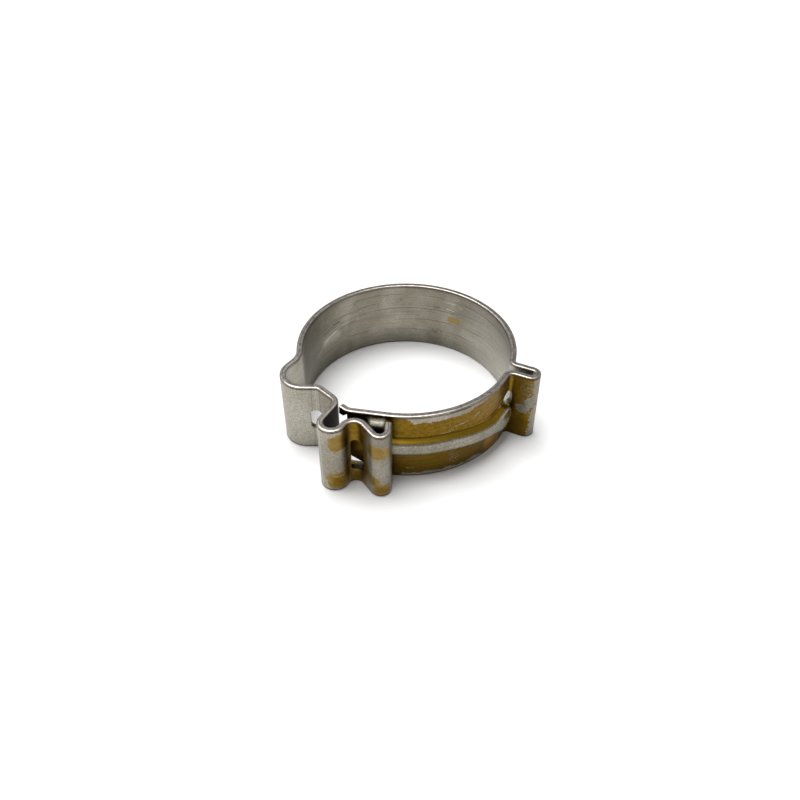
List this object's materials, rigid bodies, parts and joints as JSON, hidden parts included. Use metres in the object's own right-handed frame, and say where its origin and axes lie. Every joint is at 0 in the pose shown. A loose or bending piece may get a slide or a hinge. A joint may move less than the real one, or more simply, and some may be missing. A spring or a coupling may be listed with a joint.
{
  "type": "ear hose clamp",
  "caption": "Reusable ear hose clamp: one steel strip folded into a ring with a closed ear, an open ear and a hook head over a pressed catch.",
  "frame": {"origin": "centre of the bore at the lower edge of the strip", "axes": "+Z along the bore axis, -Y towards the hook head, -X towards the open ear"},
  "size_m": [0.0329, 0.0323, 0.01],
  "materials": {
    "strip_steel": "satin zinc with a worn golden coating"
  },
  "bodies": {
    "root": {"clamp_band": "strip_steel"}
  },
  "joints": []
}
